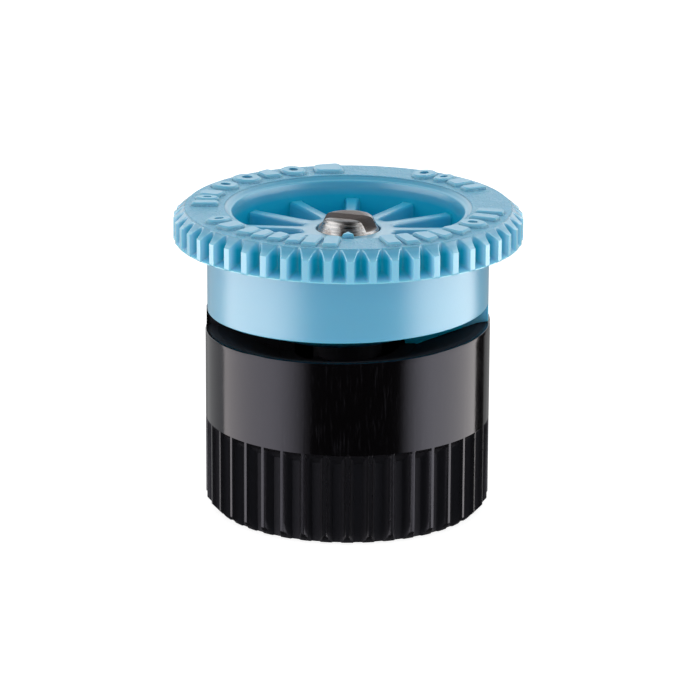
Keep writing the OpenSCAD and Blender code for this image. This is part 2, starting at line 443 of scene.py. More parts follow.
def moulded_group():
    """Fine grain as a height, slow drifts of tone and thin rubs as masks."""
    tree, given, result = new_shader_group(
        "Moulded surface", {"Grain Scale": 9.0, "Drift Scale": 0.22}, ["Grain", "Drift", "Rubs"])
    place = place_mm(tree)
    coarse = noise(place, given["Grain Scale"] * 0.35, 2.0)
    feed(result["Grain"], noise(place, given["Grain Scale"], 2.0) + coarse * 0.7)
    feed(result["Drift"], noise(place, given["Drift Scale"]))
    stretched = wire(tree, "ShaderNodeMapping", {"Vector": place, "Scale": (3.0, 3.0, 0.25)})
    feed(result["Rubs"], remap(noise(stretched, 2.2, 5.0, 0.7), 0.56, 0.78))
    return tree


def height_band_group():
    """Mask that is 1 above a height, in millimetres, and fades over Fade below it."""
    tree, given, result = new_shader_group("Height band", {"Level": 0.0, "Fade": 0.05}, ["Above"])
    height = split_mm(tree)[2]
    feed(result["Above"], remap(height, given["Level"] - given["Fade"], given["Level"]))
    return tree


MOULDED = moulded_group()
HEIGHT_BAND = height_band_group()


def group(tree, what, **values):
    made = add(tree, "ShaderNodeGroup", node_tree=what)
    for title, value in values.items():
        feed(made.inputs[title.replace("_", " ")], value)
    return wires(made.outputs)


def above(tree, level, fade):
    return group(tree, HEIGHT_BAND, Level=level, Fade=fade)["Above"]


def new_material(name, **constants):
    """A Principled material whose even values are set on the shader's own sockets."""
    material = bpy.data.materials.new(name)
    material.use_nodes = True
    shader = material.node_tree.nodes["Principled BSDF"].inputs
    for title, value in constants.items():
        shader[title.replace("_", " ")].default_value = value
    return material, material.node_tree, shader


def blend_colour(factor, first, second):
    made = add(factor.tree, "ShaderNodeMix", {"Factor": factor}, data_type="RGBA")
    for key, colour in (("A", first), ("B", second)):
        feed(pick(made.inputs, key), (*colour, 1.0) if isinstance(colour, tuple) else colour)
    return Wire(pick(made.outputs, "Result"))


def bump(height, distance, strength=1.0):
    return wire(height.tree, "ShaderNodeBump",
                {"Height": height, "Distance": distance * MM, "Strength": strength})


# %% [markdown]
# ## Light blue plastic
# The collar is moulded in a light blue. Its colour carries painted light and shade: the
# pockets of the dish and the gaps between the teeth are painted a deeper teal as painted
# shade, while the thin tips of the teeth are painted paler as painted light. A group marks
# those places, and the colour drifts to teal or to pale blue there. The flat of the rim is
# sparked, so it is rougher and grainier than the raised marks on it, and the rim's top with
# its marks is painted paler, a painted light.

# %% Recesses with painted shade
HUB_DROP = 1.8
GAP_FLOOR_R = 12.72


def recess_group():
    """Masks of painted shade in the dish's pockets with the tooth gaps and in the gaps alone,
    and of painted light on the teeth's tips. Each mask fades between two distances, in millimetres."""
    tree, given, result = new_shader_group(
        "Painted shade and tip light", {"Dish Radius": 9.0, "Hub Level": 22.4, "Rim Top": 24.2, "Gap Radius": 12.7},
        ["Deep", "Gap", "Tip Light"])
    height, across = split_mm(tree)[2:]
    dish, gap_floor = given["Dish Radius"], given["Gap Radius"]
    hub, rim = given["Hub Level"], given["Rim Top"]
    in_dish = remap(across, dish + 0.2, dish - 0.02)
    below_hub = remap(height, hub - 0.05, hub - 1.3)
    wall = remap(across, dish - 0.35, dish - 0.12) * remap(height, rim - 0.5, rim - 1.5)
    along_spoke = remap(across, dish - 5.0, dish - 0.8) * remap(height, hub + 0.5, hub + 0.3)
    lip = remap(across, dish - 0.4, dish - 0.1) * remap(across, dish + 0.75, dish + 0.3)
    pocket = in_dish * larger(below_hub, larger(wall, along_spoke * 0.7))
    gap = remap(across, gap_floor + 0.75, gap_floor + 0.3) * remap(across, gap_floor - 0.1, gap_floor)
    gap = gap * remap(height, rim - 0.25, rim - 0.9) * remap(height, rim - 2.5, rim - 1.9)
    feed(result["Gap"], gap)
    feed(result["Tip Light"], remap(across, gap_floor + 0.4, gap_floor + 0.9))
    feed(result["Deep"], larger(larger(pocket, lip * 0.4), gap))
    return tree


RECESSES = recess_group()

# %% Blue plastic
BLUE_FACE = (0.120, 0.445, 0.655)
BLUE_FACE_2 = (0.098, 0.415, 0.625)
BLUE_SPECKLE_AND_TOP_LIGHT = (0.23, 0.55, 0.77)
BLUE_RECESS_SHADE = (0.002, 0.44, 0.69)
BLUE_GAP_SHADE = (0.001, 0.31, 0.48)
BLUE_TIP_LIGHT = (0.25, 0.62, 0.82)


def blue_plastic():
    material, tree, shader = new_material(
        "light blue plastic", IOR=1.5, Specular_IOR_Level=0.25, Coat_Roughness=0.3, Coat_IOR=2.0,
        Subsurface_Weight=0.5, Subsurface_Scale=0.7 * MM, Subsurface_Radius=(0.3, 0.9, 1.2))
    surface = group(tree, MOULDED, Grain_Scale=5.0, Drift_Scale=0.18)
    recess = group(tree, RECESSES, Dish_Radius=DISH_R, Hub_Level=RIM_TOP - HUB_DROP, Rim_Top=RIM_TOP,
                   Gap_Radius=GAP_FLOOR_R)
    rim = above(tree, RIM_TOP - 0.02, 0.08)
    marks = above(tree, RIM_TOP + 0.2, 0.1)
    sparked = rim - marks

    colour = blend_colour(surface["Drift"], BLUE_FACE, BLUE_FACE_2)
    speckle = remap(surface["Grain"], 0.7, 1.0) * sparked
    # The speckle is the sparked grain. The rim's top and its marks are painted paler, a painted
    # light.
    colour = blend_colour(speckle * 0.4 + rim * 0.5, colour, BLUE_SPECKLE_AND_TOP_LIGHT)
    # Painted light: the tips of the teeth are painted paler.
    colour = blend_colour(recess["Tip Light"] * 0.8, colour, BLUE_TIP_LIGHT)
    # Painted shade: the dish's pockets and the tooth gaps are painted a deeper teal.
    colour = blend_colour(recess["Deep"], colour, BLUE_RECESS_SHADE)
    feed(shader["Base Color"], blend_colour(recess["Gap"], colour, BLUE_GAP_SHADE))

    sheen = 1.0 - rim * 0.85 + marks * 0.15
    feed(shader["Coat Weight"], sheen * (1.0 - recess["Deep"]))
    feed(shader["Roughness"], remap(surface["Drift"], 0.3, 0.7, 0.30, 0.38) + sparked * 0.14)
    feed(shader["Normal"], bump(surface["Grain"] * (sparked * 3.5 + 0.12), 0.05))
    return material


# %% [markdown]
# ## Black plastic
# The base is black all through. Its smooth band is polished in the tool and mirrors the
# lamps softly. The ribs below it are a little duller and a little lighter in tone, and the
# inside, which water has worn, is duller still.

# %% Black plastic
BLACK = (0.0016, 0.0013, 0.0016)
BLACK_LIGHTER = (0.016, 0.0155, 0.018)
GRIP_TOP = 7.3


def black_plastic():
    material, tree, shader = new_material(
        "black plastic", IOR=1.5, Specular_IOR_Level=0.54, Specular_Tint=(0.75, 0.79, 1.0, 1.0))
    surface = group(tree, MOULDED, Grain_Scale=4.0, Drift_Scale=0.3)
    ribs = 1.0 - above(tree, GRIP_TOP, 0.05)
    inside = remap(split_mm(tree)[3], BASE_R - 0.1, BASE_R - 0.5)
    # Faint rubs, and the ribs a little lighter all round.
    lighter = larger(surface["Rubs"], ribs * 0.35)
    feed(shader["Base Color"], blend_colour(lighter, BLACK, BLACK_LIGHTER))
    polished = remap(surface["Drift"], 0.3, 0.7, 0.11, 0.15)
    feed(shader["Roughness"], polished + larger(ribs * 0.14, inside * 0.6))
    feed(shader["Normal"], bump(surface["Grain"] * (ribs * 0.15 + 0.03), 0.05))
    return material


# %% [markdown]
# ## Stainless steel, rubber and acetal
# The screw was turned, so fine rings run round its axis. Its sawn slot and the flat top of its
# head are painted a dark brown as painted shade. The seals are matt black rubber with a dusty
# bloom. The plug inside is natural acetal, a waxy white plastic.

# %% Steel
STEEL_LIGHT = (0.37, 0.39, 0.41)
STEEL_STAINS_AND_SHADE = (0.105, 0.080, 0.072)
SLOT_Z = 22.6
SLOT_W = 1.5
SLOT_TURN = -20.0
SLOT_OFFSET = -0.45
HEAD_TOP = screw_high.z


def stainless():
    material, tree, shader = new_material("stainless steel")
    x, y, height, across = split_mm(tree)
    rings = noise(vector(tree, X=across, Z=height), 7.0, 4.0, 0.7)
    stains = remap(noise(place_mm(tree), 1.6, 4.0, 0.65), 0.50, 0.74)
    turn = math.radians(SLOT_TURN)
    off_slot = maths(tree, "ABSOLUTE", y * math.cos(turn) - x * math.sin(turn) - SLOT_OFFSET)
    in_slot = remap(off_slot, SLOT_W / 2 + 0.03, SLOT_W / 2) * above(tree, SLOT_Z - 0.05, 0.05)
    # Painted shade: the flat top of the head and the slot are painted dark brown, and they are
    # rougher too.
    shade_and_dull = larger(above(tree, HEAD_TOP - 0.01, 0.04), in_slot)
    feed(shader["Base Color"], blend_colour(larger(stains, shade_and_dull * 0.85), STEEL_LIGHT, STEEL_STAINS_AND_SHADE))
    feed(shader["Roughness"], remap(rings, 0.35, 0.65, 0.13, 0.42) + shade_and_dull * 0.14)
    feed(shader["Metallic"], remap(in_slot, 0.0, 1.0, 1.0, 0.35))
    feed(shader["Normal"], bump(rings, 0.045, 0.9))
    return material


def soft_finish(name, grain_scale, drift_scale, light, dark, roughness, grain_depth, **constants):
    """A plain material with a drift of tone and a fine grain."""
    material, tree, shader = new_material(name, **constants)
    surface = group(tree, MOULDED, Grain_Scale=grain_scale, Drift_Scale=drift_scale)
    feed(shader["Base Color"], blend_colour(surface["Drift"], light, dark))
    feed(shader["Roughness"], remap(surface["Drift"], 0.3, 0.7, *roughness))
    feed(shader["Normal"], bump(surface["Grain"], grain_depth))
    return material


BLUE_PLASTIC = blue_plastic()
BLACK_PLASTIC = black_plastic()
STAINLESS = stainless()
SEAL_RUBBER = soft_finish("seal rubber", 7.0, 0.9, (0.010, 0.010, 0.010), (0.035, 0.034, 0.033),
                          (0.6, 0.8), 0.01, IOR=1.5)
NATURAL_ACETAL = soft_finish("natural acetal", 6.0, 0.5, (0.80, 0.78, 0.71), (0.72, 0.70, 0.62),
                             (0.32, 0.42), 0.006, IOR=1.48, Subsurface_Weight=0.35,
                             Subsurface_Scale=0.8 * MM, Subsurface_Radius=(1.0, 0.9, 0.7))

# %% [markdown]
# ## The turning tree
# The base and the collar are both turned sections with two twists: part of the section
# climbs as it goes round, with one steep step where the turn closes, and part of it is
# notched many times. A tree of Geometry Nodes states that rule once. It sweeps the section
# round a circle for the topology only, and then puts every point where the rule says.

# %% Turning tree
COLUMNS = 1200
STEP_WIDTH = 1.0 / COLUMNS


def sweep(tree, path, share, outline, **options):
    """Sweeps an outline along a path whose points carry their share of the way as "turn"."""
    tagged = wire(tree, "GeometryNodeStoreNamedAttribute",
                  {"Geometry": path, "Name": "turn", "Value": share},
                  data_type="FLOAT", domain="POINT")
    profile = wire(tree, "GeometryNodeMeshToCurve", {"Mesh": outline})
    return wire(tree, "GeometryNodeCurveToMesh",
                {"Curve": tagged, "Profile Curve": profile, **options})


def turning_tree():
    tree, given = new_geometry_tree(
        "Turned, climbing and notched", Columns=COLUMNS, Outer_Radius=10.0, Notch_Count=40,
        Notch_Turn=0.0, Notch_Depth=1.0, Notch_Land=0.2, Notch_Slope=2.0, Notch_Round=0.0,
        Scoop_Power=1.0, Climb=1.5, Climb_Start=0.0, Step_Width=STEP_WIDTH)
    circle = wire(tree, "GeometryNodeCurvePrimitiveCircle", {"Resolution": given["Columns"]})
    share = wire(tree, "GeometryNodeInputIndex") / given["Columns"]
    swept = sweep(tree, circle, share, given["Geometry"])

    turn = named(tree, "turn")
    wave = maths(tree, "FRACT", turn * given["Notch Count"] - given["Notch Turn"])
    off_rib = maths(tree, "ABSOLUTE", maths(tree, "WRAP", wave, 0.5, -0.5)) * 2.0
    to_groove = smaller((1.0 - off_rib) / (1.0 - given["Notch Land"]), 1.0)
    flanks = smaller((1.0 - to_groove) * given["Notch Slope"], 1.0)
    scoop = maths(tree, "POWER", 1.0 - to_groove * to_groove, given["Scoop Power"])
    shape = flanks * (1.0 - given["Notch Round"]) + scoop * given["Notch Round"]
    depth = smaller(shape, named(tree, "notch")) * given["Notch Depth"]
    radius = smaller(named(tree, "from_axis"), given["Outer Radius"] - depth)

    along = maths(tree, "FRACT", turn - given["Climb Start"])
    lift = smaller(along, (1.0 - along) / given["Step Width"]) * given["Climb"]
    height = named(tree, "height") + lift * named(tree, "climb")
    placed = wire(tree, "GeometryNodeSetPosition",
                  {"Geometry": swept, "Position": on_circle(tree, radius, turn * TURN, height)})
    return end_tree(tree, placed, given["Finish"])


TURNING = turning_tree()

# %% [markdown]
# ## The thread tree
# A thread is a small outline carried along a helix. The tree makes the helix as a straight
# line of points, sweeps the outline along it, and bends it round the axis by rule. The
# thread fades in and out over a third of a turn, as a cut thread does.

# %% Thread tree
def thread_tree():
    tree, given = new_geometry_tree(
        "Thread round an axis", Steps=400, Turns=7.0, Pitch=0.9, Wall_Radius=8.0, Bottom=0.0)
    line = wire(tree, "GeometryNodeCurvePrimitiveLine", {"End": (1.0, 0.0, 0.0)})
    fine = wire(tree, "GeometryNodeResampleCurve", {"Curve": line, "Count": given["Steps"]})
    share = wire(tree, "GeometryNodeInputIndex") / (given["Steps"] - 1.0)
    swept = sweep(tree, fine, share, given["Geometry"], **{"Fill Caps": True})

    turns = named(tree, "turn") * given["Turns"]
    fade = smaller(smaller(turns, given["Turns"] - turns) * 3.0, 1.0)
    radius = given["Wall Radius"] + named(tree, "out") * fade
    rise = turns * given["Pitch"] + given["Bottom"] + named(tree, "up")
    placed = wire(tree, "GeometryNodeSetPosition",
                  {"Geometry": swept, "Position": on_circle(tree, radius, turns * TURN, rise)})
    return end_tree(tree, placed, given["Finish"])


THREAD = thread_tree()


THREAD_SINK = 0.06
# Half widths of the V as shares of the pitch
V_FOOT = 0.42
V_CREST = 0.07


def thread(name, wall_r, crest_r, pitch, bottom, top, finish, steps_per_turn=64):
    """A V thread from the wall to the crest. The foot of the V is sunk in the wall."""
    sink = math.copysign(THREAD_SINK, wall_r - crest_r)
    out = [sink, crest_r - wall_r, crest_r - wall_r, sink]
    up = [share * pitch for share in (-V_FOOT, -V_CREST, V_CREST, V_FOOT)]
    turns = (top - bottom) / pitch
    return run_tree(THREAD, wire_loop(name, out=out, up=up), name, {
        "Steps": int(turns * steps_per_turn), "Turns": turns, "Pitch": pitch,
        "Wall Radius": wall_r, "Bottom": bottom, "Finish": finish})


# %% [markdown]
# ## The base
# The base is the black piece that a hand turns when it screws the nozzle on. Forty ribs give
# the grip. Their flanks slope to narrow lands, each groove ends in a slope under the smooth
# band, and the foot is chamfered. The rim at the top climbs one valve turn and steps down.
# The dish inside it throws the water outwards.

# %% Base section
RIB_COUNT = 40
RIB_DEPTH = 0.85
RIB_LAND = 0.24
RIB_ROOT = 1.08
RIB_PHASE = 0.03
SLOPE_ROWS = 6
FOOT_CHAMFER = 0.72
FOOT_CHAMFER_H = 0.76
GROOVE_RISE = 0.9
RIM_FLAT = 1.0
RIM_FALL = 0.15
SEAT_R = 5.4
THROAT_R = 5.0
THREAD_WALL_R = 7.95
THREAD_CREST_R = 7.46


def base_section():
    floor = [(THREAD_WALL_R + 0.25, 0, 0, 0, 0), (BASE_R - 1.6, 0, 0, 0, 0)]
    shares = [row / SLOPE_ROWS for row in range(SLOPE_ROWS + 1)]
    chamfer = [(BASE_R - FOOT_CHAMFER * (1 - t), FOOT_CHAMFER_H * t, 0, 1, 0) for t in shares]
    slope = [(BASE_R, GRIP_TOP - GROOVE_RISE * (1 - t), 0, 1 - t, 0) for t in shares]
    rim = [(BASE_R, VALVE_Z - 1.2, 0, 0, 0), (BASE_R, VALVE_Z - 0.4, 1, 0, 0),
           (BASE_R, VALVE_Z, 1, 0, 0.09), (BASE_R - RIM_FLAT, VALVE_Z - RIM_FALL, 1, 0, 0.05),
           (SEAT_R + 0.1, VALVE_Z - DISH_FALL, 1, 0, 0), (SEAT_R, VALVE_Z - DISH_FALL, 1, 0, 0)]
    ledge = core_low.z
    inside = [(SEAT_R, ledge, 0, 0, 0), (THROAT_R, ledge, 0, 0, 0),
              (THROAT_R, gasket_high.z, 0, 0, 0.05),
              (gasket_high.x, gasket_high.z, 0, 0, 0), (gasket_high.x, gasket_low.z, 0, 0, 0),
              (THREAD_WALL_R, gasket_low.z, 0, 0, 0), (THREAD_WALL_R, 0.6, 0, 0, 0)]
    return floor + chamfer + slope + rim + inside


# %% Base shell
pitch_at_rim = TURN * BASE_R / RIB_COUNT
base_values = {
    "Columns": COLUMNS, "Outer Radius": BASE_R, "Notch Count": RIB_COUNT, "Notch Turn": RIB_PHASE,
    "Notch Depth": RIB_DEPTH, "Notch Land": RIB_LAND / pitch_at_rim,
    "Notch Slope": (pitch_at_rim - RIB_LAND) / (RIB_ROOT - RIB_LAND), "Notch Round": 0.0,
    "Climb": CLIMB, "Climb Start": BASE_STEP / 360, "Step Width": STEP_WIDTH,
    "Finish": BLACK_PLASTIC}
base_outline = section_wire("base_section", base_section())
base_shell = tidy_mesh(run_tree(TURNING, base_outline, "base_shell", base_values))

# %% [markdown]
# Two slots in the lower throat guide the plug's tabs. They are cut with a boolean, because
# they are the only features of the base that don't go all the way round.

# %% Plug slots and riser thread
plug_high = box_mm("throttle_plug")[1]
SLOT_SLACK = 0.12
TAB_HALF_W = 0.65
slot_half_w = TAB_HALF_W + SLOT_SLACK
slot_r = plug_high.x + SLOT_SLACK
cut(base_shell, brick("plug_slots", (-slot_r, -slot_half_w, gasket_high.z - 0.5),
                      (slot_r, slot_half_w, core_low.z + 0.1)))
riser_thread = thread("riser_thread", THREAD_WALL_R, THREAD_CREST_R, 25.4 / 28, 0.75,
                      gasket_low.z - 0.3, BLACK_PLASTIC)
base_shell = tidy_mesh(join([base_shell, riser_thread], "base_shell"))

# %% [markdown]
# ## The collar's ring
# The ring is the toothed rim, the skirt and the deflector in one turned section. Fifty teeth
# have scooped gaps, and the chamfer on the rim cuts each tooth to a blunt V. The skirt's
# lower edge climbs like the base's rim and steps down to close the slot.

# %% Collar section
TOOTH_COUNT = 50
TOOTH_DEPTH = 0.92
TOOTH_LAND = 0.50
TOOTH_PHASE = 0.603
TOOTH_SCOOP = 1.15
SKIRT_R = 11.05
RIM_UNDER = RIM_TOP - 2.52
RIM_LAND_R = 12.73
TOOTH_CHAMFER_H = 0.78
CHAMFER_ROWS = 9
GAP_FOOT = 0.8
GAP_FOOT_ROWS = 6
SHALLOW = 0.08
BELL_R = 4.5


def collar_section():
    skirt = [(SKIRT_R, COLLAR_Z, 1, 0, 0.07), (SKIRT_R, COLLAR_Z + 0.5, 1, 0, 0),
             (SKIRT_R, COLLAR_Z + 2.2, 0, 0, 0), (SKIRT_R, RIM_UNDER, 0, 0, 0.22)]
    root = TOOTH_R - TOOTH_DEPTH
    under = [(root - 0.1, RIM_UNDER, 0, 0, 0), (TOOTH_R - 0.08, RIM_UNDER, 0, SHALLOW, 0)]
    for t in (row / GAP_FOOT_ROWS for row in range(GAP_FOOT_ROWS + 1)):
        depth = SHALLOW + (1 - SHALLOW) * math.sin(t * math.pi / 2)
        under.append((TOOTH_R, RIM_UNDER + 0.08 + GAP_FOOT * t, 0, depth, 0))
    chamfer = [(TOOTH_R + (RIM_LAND_R - TOOTH_R) * t, RIM_TOP - TOOTH_CHAMFER_H * (1 - t), 0, 1, 0)
               for t in (row / CHAMFER_ROWS for row in range(CHAMFER_ROWS + 1))]
    top = [(RIM_LAND_R - 0.06, RIM_TOP, 0, 0, 0), (DISH_R + 0.72, RIM_TOP, 0, 0, 0.08),
           (DISH_R + 0.36, RIM_TOP - 0.3, 0, 0, 0.08), (DISH_R + 0.12, RIM_TOP - 0.36, 0, 0, 0.08),
           (DISH_R, RIM_TOP - 0.85, 0, 0, 0.1), (DISH_R - 0.15, RIM_TOP - 6.4, 0, 0, 0)]
    inside = [(BELL_R + 0.1, RIM_TOP - 7.0, 0, 0, 0), (BELL_R, RIM_TOP - 7.2, 0, 0, 0),
              (BELL_R, COLLAR_Z - DISH_FALL, 1, 0, 0.05),
              (SEAT_R + 0.1, COLLAR_Z - DISH_FALL, 1, 0, 0),
              (BASE_R - RIM_FLAT, COLLAR_Z - RIM_FALL, 1, 0, 0)]
    return skirt + under + chamfer + top + inside


# %% Collar ring
tooth_pitch = TURN * TOOTH_R / TOOTH_COUNT
collar_values = {
    **base_values, "Outer Radius": TOOTH_R, "Notch Count": TOOTH_COUNT, "Notch Turn": TOOTH_PHASE,
    "Notch Depth": TOOTH_DEPTH, "Notch Land": TOOTH_LAND / tooth_pitch, "Notch Round": 1.0,
    "Scoop Power": TOOTH_SCOOP, "Climb Start": COLLAR_STEP / 360 % 1.0, "Finish": BLUE_PLASTIC}
collar_outline = section_wire("collar_section", collar_section())
collar_ring = tidy_mesh(run_tree(TURNING, collar_outline, "collar_ring", collar_values), 45.0)

# %% [markdown]
# ## The spokes
# Twelve upright ribs tie the hub to the dish wall, with deep pockets between them. One
# sector of thirty degrees is drawn as a grid whose columns follow the rib's sides, so the
# rounded edges run true, and Geometry Nodes repeat it round the axis and weld the copies.

# %% Spoke sector
SPOKE_COUNT = 12
SPOKE_TURN = -2.0
HUB_Z = RIM_TOP - HUB_DROP
SPOKE_END_RISE = 0.08
HUB_R = 3.7
HUB_HOLE_R = 2.54
STEM_BORE_R = 2.75
SEAL_BORE_R = 3.75
# Heights inside the hub, down from its top
STEM_BORE_DROP = 1.25
SEAL_BORE_DROP = 5.55
HUB_FOOT_DROP = 6.5
POCKET_R = DISH_R - 0.1
POCKET_FLOOR = RIM_TOP - 6.1
# Distance from the rib's middle and share of the drop from the rib's top to the floor
RIB_SIDE = [(0.0, 0.0), (0.26, 0.0), (0.36, 0.006), (0.43, 0.028), (0.465, 0.07), (0.52, 0.90),
            (0.56, 0.96), (0.64, 0.99), (0.76, 1.0)]
FLOOR_SHARES = (0.35, 0.7, 1.0)
# Radius and the least height, as a share of the drop, along the pocket from wall to hub
POCKET_ROWS = [
    (DISH_R + 0.3, 0.55), (DISH_R - 0.02, 0.6), (POCKET_R - 0.1, 0.9), (POCKET_R - 0.3, 0.98),
    (POCKET_R - 0.6, 1.0), (7.4, 1.0), (6.4, 1.0), (5.4, 1.0), (4.7, 1.0), (HUB_R + 0.45, 0.99),
    (HUB_R + 0.22, 0.94), (HUB_R + 0.1, 0.85), (HUB_R + 0.02, 0.08), (HUB_R - 0.04, 0.03),
    (HUB_R - 0.12, 0.008), (HUB_R - 0.25, 0.0), (HUB_R - 0.7, 0.0), (HUB_HOLE_R + 0.06, 0.0)]


def flare(r):
    """The ribs widen a little where they run into the hub and the dish wall."""
    at_hub = max(0.0, 1 - (r - HUB_R) / 0.9)
    at_wall = max(0.0, 1 - (POCKET_R - r) / 0.9)
    return 1 + 0.35 * at_hub ** 2 + 0.3 * at_wall ** 2


def sector_columns(r):
    """Angles, in radians, and shares of the drop for one half of a sector."""
    half = math.pi / SPOKE_COUNT
    pairs = [(math.asin(min(off * flare(r) / r, 0.99)), drop) for off, drop in RIB_SIDE]
    pairs = [(min(angle, half * 0.9), drop) for angle, drop in pairs]
    edge = pairs[-1][0]
    return pairs + [(edge + (half - edge) * share, 1.0) for share in FLOOR_SHARES]


def spoke_sector():
    rows = []
    for r, least in POCKET_ROWS:
        top = HUB_Z + SPOKE_END_RISE * (r - HUB_R) / (DISH_R - HUB_R) if r > HUB_R else HUB_Z
        floor = POCKET_FLOOR - 0.12 * (DISH_R - r)
        half = [(angle, top - (top - floor) * min(drop, least))
                for angle, drop in sector_columns(r)]
        line = [(-angle, z) for angle, z in reversed(half[1:])] + half
        rows.append([(r * math.cos(angle), r * math.sin(angle), z) for angle, z in line])
    angles = [math.atan2(y, x) for x, y, z in rows[-1]]
    inner = [(HUB_HOLE_R, HUB_Z - 0.06), (HUB_HOLE_R, HUB_Z - STEM_BORE_DROP),
             (STEM_BORE_R, HUB_Z - STEM_BORE_DROP), (STEM_BORE_R, HUB_Z - SEAL_BORE_DROP),
             (SEAL_BORE_R, HUB_Z - SEAL_BORE_DROP), (SEAL_BORE_R, HUB_Z - HUB_FOOT_DROP),
             (BELL_R + 0.2, HUB_Z - HUB_FOOT_DROP), (BELL_R + 0.7, POCKET_FLOOR - 0.9),
             (DISH_R + 0.3, POCKET_FLOOR - 0.4)]
    for r, z in inner:
        rows.append([(r * math.cos(angle), r * math.sin(angle), z) for angle in angles])
    wide = len(angles)
    points = [point for row in rows for point in row]
    rings = [(row * wide, (row + 1) % len(rows) * wide) for row in range(len(rows))]
    faces = [(a + column, b + column, b + column + 1, a + column + 1)
             for a, b in rings for column in range(wide - 1)]
    return mesh_object("spoke_sector", points, faces=faces)


# %% Ring of copies
def copies_tree():
    tree, given = new_geometry_tree("Ring of copies", Count=12, Turn=0.0, Weld=0.001)
    dots = wire(tree, "GeometryNodePoints", {"Count": given["Count"]})
    angle = wire(tree, "GeometryNodeInputIndex") * TURN / given["Count"] + given["Turn"]
    copies = wire(tree, "GeometryNodeInstanceOnPoints", {
        "Points": dots, "Instance": given["Geometry"], "Rotation": vector(tree, Z=angle)})
    real = wire(tree, "GeometryNodeRealizeInstances", {"Geometry": copies})
    welded = wire(tree, "GeometryNodeMergeByDistance",
                  {"Geometry": real, "Distance": given["Weld"]})
    return end_tree(tree, welded, given["Finish"])


COPIES = copies_tree()
collar_spokes = run_tree(COPIES, spoke_sector(), "collar_spokes", {
    "Count": SPOKE_COUNT, "Turn": math.radians(SPOKE_TURN), "Finish": BLUE_PLASTIC})
tidy_mesh(collar_spokes)

# %% [markdown]
# ## Raised marks on the rim
# The rim carries raised marks that help a thumb and an eye to read the setting: bars,
# blocks, rings and one pointer at the open arc's edge. Four outlines are drawn once, filled,
# placed round the rim by the points' own numbers, and raised in two lifts so that their
# edges are eased.

# %% Marks tree
MARK_SINK = 0.12
SIDE_SHARE = 0.62


def joined(tree, *parts):
    made = add(tree, "GeometryNodeJoinGeometry")
    for part in parts:
        feed(made.inputs[0], part)
    return Wire(made.outputs[0])


def mark_outlines(tree):
    """A bar, a block, a pointer and a ring, each filled and made an instance."""
    bar = wire(tree, "GeometryNodeCurvePrimitiveQuadrilateral", {"Width": 1.0, "Height": 1.0})
    block = wire(tree, "GeometryNodeCurvePrimitiveQuadrilateral",
                 {"Height": 1.0, "Bottom Width": 1.0, "Top Width": 0.7, "Offset": 0.0},
                 mode="TRAPEZOID")
    pointer, outside, hole = (
        wire(tree, "GeometryNodeCurvePrimitiveCircle", {"Resolution": sides, "Radius": radius})
        for sides, radius in ((3, 0.6), (28, 0.5), (20, 0.22)))
    outlines = [wire(tree, "GeometryNodeFilletCurve",
                     {"Curve": sharp, "Radius": radius, "Count": 3, "Limit Radius": True},
                     mode="POLY")
                for sharp, radius in ((bar, 0.12), (block, 0.16), (pointer, 0.05))]
    outlines.append(joined(tree, outside, hole))
    filled = [wire(tree, "GeometryNodeFillCurve", {"Curve": outline}, mode="NGONS")
              for outline in outlines]
    return [wire(tree, "GeometryNodeGeometryToInstance", {0: face}) for face in filled]


def raised(mesh, lift, shrink, **selection):
    """Raises faces by one lift and shrinks their tops a little."""
    up = wires(add(mesh.tree, "GeometryNodeExtrudeMesh", {
        "Mesh": mesh, "Offset": (0.0, 0.0, 1.0), "Offset Scale": lift, "Individual": False,
        **selection}).outputs)
    eased = wire(mesh.tree, "GeometryNodeScaleElements",
                 {"Geometry": up["Mesh"], "Selection": up["Top"], "Scale": shrink})
    return eased, up["Top"]


def marks_tree():
    tree, given = new_geometry_tree("Raised marks", Height=0.3, Sink=0.1, Level=0.0, Weld=0.0005)
    # The last piece linked to a join comes first in it
    choices = joined(tree, *reversed(mark_outlines(tree)))
    copies = wire(tree, "GeometryNodeInstanceOnPoints", {
        "Points": given["Geometry"], "Instance": choices, "Pick Instance": True,
        "Instance Index": named(tree, "kind", "INT"),
        "Rotation": vector(tree, Z=named(tree, "turn")),
        "Scale": vector(tree, X=named(tree, "long"), Y=named(tree, "wide"), Z=1.0)})
    real = wire(tree, "GeometryNodeRealizeInstances", {"Geometry": copies})
    flat = wire(tree, "GeometryNodeSetPosition",
                {"Geometry": real, "Offset": vector(tree, Z=given["Level"] - given["Sink"])})
    side, top = raised(flat, given["Sink"] + given["Height"] * SIDE_SHARE, 0.95)
    crown = raised(side, given["Height"] * (1 - SIDE_SHARE), 0.84, Selection=top)[0]
    under = wire(tree, "GeometryNodeFlipFaces", {"Mesh": flat})
    welded = wire(tree, "GeometryNodeMergeByDistance",
                  {"Geometry": joined(tree, crown, under), "Distance": given["Weld"]})
    return end_tree(tree, welded, given["Finish"])


MARKS = marks_tree()

# %% Marks
BAR, BLOCK, POINTER, RING = 0, 1, 2, 3
MARK_MID_R = 11.2
